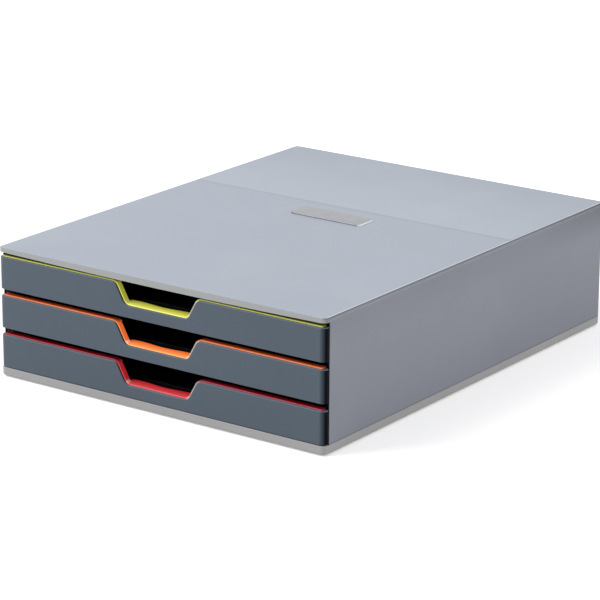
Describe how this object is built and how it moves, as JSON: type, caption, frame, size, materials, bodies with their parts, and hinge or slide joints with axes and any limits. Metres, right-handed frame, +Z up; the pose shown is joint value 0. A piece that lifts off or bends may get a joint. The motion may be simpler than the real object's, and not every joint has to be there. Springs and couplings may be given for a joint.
{
  "type": "desktop file drawer",
  "caption": "Low desktop drawer box for C4 and A4 paper, with sliding trays whose coloured rims dip into finger grips.",
  "frame": {"origin": "on the desk, under the middle of the box", "axes": "+X to the right seen from the front, -Y towards the user (the drawers pull out along -Y), +Z up"},
  "size_m": [0.28, 0.356, 0.096],
  "materials": {
    "housing_grey": "fine satin grain",
    "base_grey": "fine satin grain",
    "slate_plastic": "satin",
    "tray_plastic": "satin",
    "runner_grey": "satin",
    "lime_plastic": "semi-gloss",
    "orange_plastic": "semi-gloss",
    "red_plastic": "semi-gloss",
    "emblem_metal": "fine brushed, bare",
    "screw_steel": "zinc plated",
    "foot_rubber": "matt"
  },
  "bodies": {
    "housing": {"top_cover": "housing_grey", "emblem_plate": "emblem_metal", "left_side_panel": "housing_grey", "right_side_panel": "housing_grey", "back_panel": "housing_grey", "base_plate": "base_grey", "left_runner_frame": "runner_grey", "right_runner_frame": "runner_grey", "base_screws": "screw_steel", "runner_screws": "screw_steel", "front_left_foot": "foot_rubber", "front_right_foot": "foot_rubber", "back_left_foot": "foot_rubber", "back_right_foot": "foot_rubber"},
    "bottom_drawer": {"bottom_drawer_front": "slate_plastic", "bottom_drawer_grip_strip": "red_plastic", "bottom_drawer_tray": "tray_plastic", "bottom_drawer_screws": "screw_steel"},
    "middle_drawer": {"middle_drawer_front": "slate_plastic", "middle_drawer_grip_strip": "orange_plastic", "middle_drawer_tray": "tray_plastic", "middle_drawer_screws": "screw_steel"},
    "top_drawer": {"top_drawer_front": "slate_plastic", "top_drawer_grip_strip": "lime_plastic", "top_drawer_tray": "tray_plastic", "top_drawer_screws": "screw_steel"}
  },
  "joints": [
    {"name": "bottom_drawer_slide", "type": "slide", "parent": "housing", "child": "bottom_drawer", "axis": [0, -1, 0], "range_m": [0, 0.25]},
    {"name": "middle_drawer_slide", "type": "slide", "parent": "housing", "child": "middle_drawer", "axis": [0, -1, 0], "range_m": [0, 0.25]},
    {"name": "top_drawer_slide", "type": "slide", "parent": "housing", "child": "top_drawer", "axis": [0, -1, 0], "range_m": [0, 0.25]}
  ]
}
